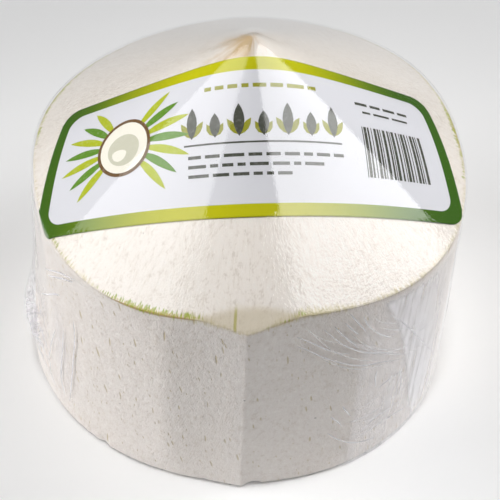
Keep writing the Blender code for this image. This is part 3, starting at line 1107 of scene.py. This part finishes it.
def add_crease(route, width, height, milk):
    """A thin closed fold along the route, pinched out at both ends."""
    fold = bmesh.ops.create_grid(creases, x_segments=CREASE_STEPS, y_segments=CREASE_SIDES, size=1.0)
    around_rim = math.radians(1.0) * RIM_RADIUS
    for corner in fold["verts"]:
        way = (corner.co.x + 1.0) / 2.0
        turn = math.pi * corner.co.y
        here = smooth_route(route, way)
        ahead = smooth_route(route, min(1.0, way + 0.01)) - smooth_route(route, max(0.0, way - 0.01))
        run = Vector((ahead.x * around_rim, ahead.y * 0.001)).normalized()
        taper = math.sin(math.pi * way) ** 0.6 + 0.02
        aside = math.sin(turn) * width / 2.0 * taper
        over_base = here.y * 0.001
        skin = FILM_LIFT + film_relief(here.x, over_base - RIM_HEIGHT, over_base)
        angle = here.x - aside * run.y / around_rim
        drop = RIM_HEIGHT - over_base - aside * run.x
        corner.co = wall_place(angle, drop, skin + math.cos(turn) * height * taper, NUT_FLOOR)
        round_rim = direction(angle) * RIM_RADIUS
        corner[crease_lay] = (round_rim.x, round_rim.y, -drop)
        corner[crease_milk] = milk
    bmesh.ops.remove_doubles(creases, verts=fold["verts"], dist=0.000002)


for route in CREASE_ROUTES:
    add_crease(route, CREASE_WIDTH, CREASE_HEIGHT, CREASE_MILK)

# Finer ones lie between those of the front right: a fan of arcs high up, and level ones low down
FINE_WIDTH = (0.0003, 0.0005)
FINE_HEIGHT = (0.00003, 0.00006)
SIDE_WIDTH = (0.0004, 0.0009)
SIDE_HEIGHT = (0.00008, 0.00016)
ARCS = 15
LEVEL_CREASES = 14
SIDE_CREASES = 34
DRAW = random.Random(5)
for start in [DRAW.uniform(13.0, 36.0) for _ in range(ARCS)]:
    high = 73.0 - DRAW.uniform(0.0, 20.0)
    reach = DRAW.uniform(8.0, 22.0)
    fall = DRAW.uniform(0.6, 1.1) * reach
    add_crease(
        ((start, high), (start + 0.4 * reach, high - 0.55 * fall), (start + reach, high - fall)),
        DRAW.uniform(*FINE_WIDTH), DRAW.uniform(*FINE_HEIGHT), FAINT_MILK)
for start in [DRAW.uniform(27.0, 40.0) for _ in range(LEVEL_CREASES)]:
    level = DRAW.uniform(7.0, 30.0)
    reach = DRAW.uniform(5.0, 13.0)
    end = level + DRAW.uniform(-1.0, 2.0)
    add_crease(
        ((start, level), (start + 0.5 * reach, level - 0.6), (start + reach, end)),
        DRAW.uniform(*FINE_WIDTH), DRAW.uniform(*FINE_HEIGHT), FAINT_MILK)

# Creases of the sides that the front doesn't show run mostly up and down, drawn at random
for middle in [DRAW.uniform(70.0, 290.0) for _ in range(SIDE_CREASES)]:
    high = DRAW.uniform(30.0, 70.0)
    low = max(6.0, high - DRAW.uniform(10.0, 42.0))
    lean = DRAW.uniform(-9.0, 9.0)
    bow = DRAW.uniform(-3.0, 3.0)
    add_crease(
        ((middle - lean, high), (middle + bow, (high + low) / 2.0), (middle + lean, low)),
        DRAW.uniform(*SIDE_WIDTH), DRAW.uniform(*SIDE_HEIGHT), FAINT_MILK)

bmesh.ops.recalc_face_normals(creases, faces=creases.faces[:])
new_piece("film_creases", creases, [CLEAR_FILM], 80.0)

# The studio
# A plain pale table that fills the view, two long soft boxes above it to the left and right,
# whose reflections lie on the film over the cone, and a level camera looking down on the front.
TABLE_SIZE = 6.0
TABLE_WHITE = paint(251, 251, 251)
table_mesh = bmesh.new()
bmesh.ops.create_grid(table_mesh, x_segments=1, y_segments=1, size=TABLE_SIZE / 2.0)
table_data = bpy.data.meshes.new("table")
table_mesh.to_mesh(table_data)
table_mesh.free()
table = bpy.data.objects.new("table", table_data)
bpy.context.scene.collection.objects.link(table)
table_surface, _, table_shader = new_surface("pale_table")
table_shader.inputs["Base Color"].default_value = TABLE_WHITE
table_shader.inputs["Roughness"].default_value = 0.9
table_shader.inputs["Specular IOR Level"].default_value = 0.1
table_data.materials.append(table_surface)

# What the camera and the soft boxes look at
AIM = Vector((0.00382, -0.0008, 0.03714))


def add_soft_box(name, towards, along, length, width, brightness, mirrored=True):
    """A rectangular light a metre from the nut; the brightness is what a mirror would show."""
    light = bpy.data.lights.new(name, "AREA")
    light.shape = "RECTANGLE"
    light.size = length
    light.size_y = width
    light.energy = brightness * math.pi * length * width
    lamp = bpy.data.objects.new(name, light)
    back = Vector(towards).normalized()
    right = Vector(along)
    right = (right - back * right.dot(back)).normalized()
    up = back.cross(right)
    lamp.matrix_world = Matrix.Translation(AIM + back) @ Matrix((right, up, back)).transposed().to_4x4()
    lamp.visible_glossy = mirrored
    bpy.context.scene.collection.objects.link(lamp)


add_soft_box("left_soft_box", (-0.661, -0.127, 0.741), (-0.588, 0.699, -0.406), 0.86, 0.48, 1.65)
add_soft_box("right_soft_box", (0.591, -0.120, 0.798), (0.649, 0.658, -0.381), 1.10, 0.38, 3.2)

# Low, long lamps brighten the drum's sides and back, and a narrow one overhead the cone
LOW_LAMPS = (("left_fill", -85.0, 25.0), ("right_fill", 105.0, 20.0), ("back_fill", 178.0, 2.0))
LOW_LAMP_RISE = 0.158
LOW_LAMP_SIZE = (0.5, 0.2)
OVERHEAD_OFFSET = 0.2
OVERHEAD_RISE = 1.0
OVERHEAD_AIM = 0.02
for name, angle, brightness in LOW_LAMPS:
    aside = direction(angle + 90.0).to_3d()
    towards = direction(angle).to_3d() + Vector((0.0, 0.0, LOW_LAMP_RISE))
    add_soft_box(name, towards, aside, *LOW_LAMP_SIZE, brightness, mirrored=False)
overhead_light = bpy.data.lights.new("overhead", "SPOT")
overhead_light.energy = 30.0
overhead_light.shadow_soft_size = 0.1
overhead_light.spot_size = math.radians(9.0)
overhead_light.spot_blend = 0.2
overhead = bpy.data.objects.new("overhead", overhead_light)
overhead.location = (AXIS_PLACE.x, AXIS_PLACE.y - OVERHEAD_OFFSET, APEX_HEIGHT + OVERHEAD_RISE)
overhead.rotation_euler = (math.atan2(OVERHEAD_OFFSET - OVERHEAD_AIM, OVERHEAD_RISE), 0.0, 0.0)
overhead.visible_glossy = False
bpy.context.scene.collection.objects.link(overhead)

world = bpy.data.worlds.new("studio")
bpy.context.scene.world = world
world.use_nodes = True
background = world.node_tree.nodes["Background"]
background.inputs["Color"].default_value = (0.95, 0.97, 1.0, 1.0)
background.inputs["Strength"].default_value = 0.03
bpy.context.scene.view_settings.view_transform = "Standard"

CAMERA_ELEVATION = math.radians(46.316)
CAMERA_DISTANCE = 0.50719
camera_data = bpy.data.cameras.new("camera")
camera_data.lens = 120.135
camera_data.sensor_width = 36.0
camera_data.clip_start = 0.01
camera = bpy.data.objects.new("camera", camera_data)
camera.location = AIM + Vector(
    (0.0, -math.cos(CAMERA_ELEVATION), math.sin(CAMERA_ELEVATION))) * CAMERA_DISTANCE
camera.rotation_euler = (math.pi / 2.0 - CAMERA_ELEVATION, 0.0, 0.0)
bpy.context.scene.collection.objects.link(camera)
bpy.context.scene.camera = camera
